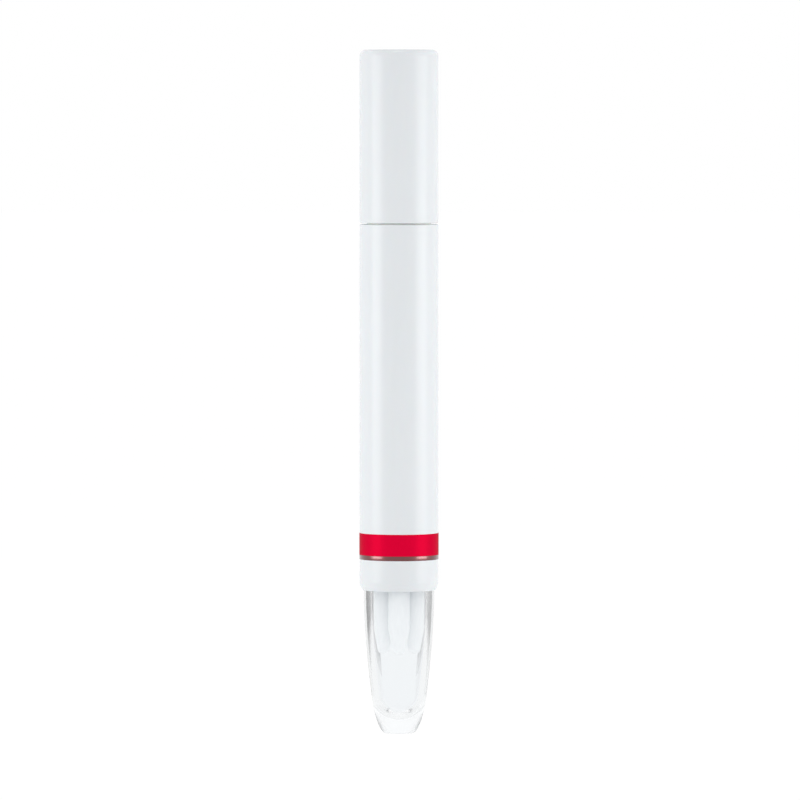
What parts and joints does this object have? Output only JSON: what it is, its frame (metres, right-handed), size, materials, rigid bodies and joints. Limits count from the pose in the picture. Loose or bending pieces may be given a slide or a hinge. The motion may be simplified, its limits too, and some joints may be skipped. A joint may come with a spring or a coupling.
{
  "type": "nail oil pen",
  "caption": "Slim white nail oil pen: a pull-off cap over a pressable felt tip, a valved oil barrel, and a clear tapered end case that holds spare felt tips.",
  "frame": {"origin": "centre of the flat foot under the clear spare tip case", "axes": "+Z along the pen's axis, from the clear case towards the cap; +X and +Y across it, with the first spare tip on the -Y side"},
  "size_m": [0.0138, 0.0138, 0.1196],
  "materials": {
    "white_plastic": "smooth glossy white moulding",
    "red_film": "glossy printed film",
    "bronze_foil": "hot-stamped bronze foil",
    "natural_plastic": "plain natural polypropylene",
    "gasket_rubber": "soft dark elastomer",
    "spring_steel": "drawn stainless wire",
    "felt": "dense bonded white felt",
    "clear_plastic": "polished clear moulding"
  },
  "bodies": {
    "barrel": {"barrel": "white_plastic", "colour_band": "red_film", "foil_line": "bronze_foil", "tip_holder": "natural_plastic", "valve_gasket": "gasket_rubber", "valve_housing": "natural_plastic", "valve_spring": "spring_steel"},
    "applicator": {"applicator_tip": "felt", "tip_cup": "natural_plastic", "valve_poppet": "natural_plastic"},
    "cap": {"cap_shell": "white_plastic", "cap_liner": "natural_plastic"},
    "tip_case": {"spare_tip_case": "clear_plastic"},
    "spare_tip_1": {"spare_tip_1": "felt"},
    "spare_tip_2": {"spare_tip_2": "felt"},
    "spare_tip_3": {"spare_tip_3": "felt"},
    "spare_tip_4": {"spare_tip_4": "felt"}
  },
  "joints": [
    {"name": "tip_press", "type": "slide", "parent": "barrel", "child": "applicator", "axis": [0, 0, -1], "range_m": [0, 0.0015], "stiffness_N_per_m": 400, "springref_m": -0.001, "deforming": ["valve_spring"]},
    {"name": "cap_pull", "type": "slide", "parent": "barrel", "child": "cap", "axis": [0, 0, 1], "range_m": [0, 0.035]},
    {"name": "case_pull", "type": "slide", "parent": "barrel", "child": "tip_case", "axis": [0, 0, -1], "range_m": [0, 0.03]},
    {"name": "spare_tip_1_lift", "type": "slide", "parent": "tip_case", "child": "spare_tip_1", "axis": [0, 0, 1], "range_m": [0, 0.0025]},
    {"name": "spare_tip_2_lift", "type": "slide", "parent": "tip_case", "child": "spare_tip_2", "axis": [0, 0, 1], "range_m": [0, 0.0025]},
    {"name": "spare_tip_3_lift", "type": "slide", "parent": "tip_case", "child": "spare_tip_3", "axis": [0, 0, 1], "range_m": [0, 0.0025]},
    {"name": "spare_tip_4_lift", "type": "slide", "parent": "tip_case", "child": "spare_tip_4", "axis": [0, 0, 1], "range_m": [0, 0.0025]}
  ]
}
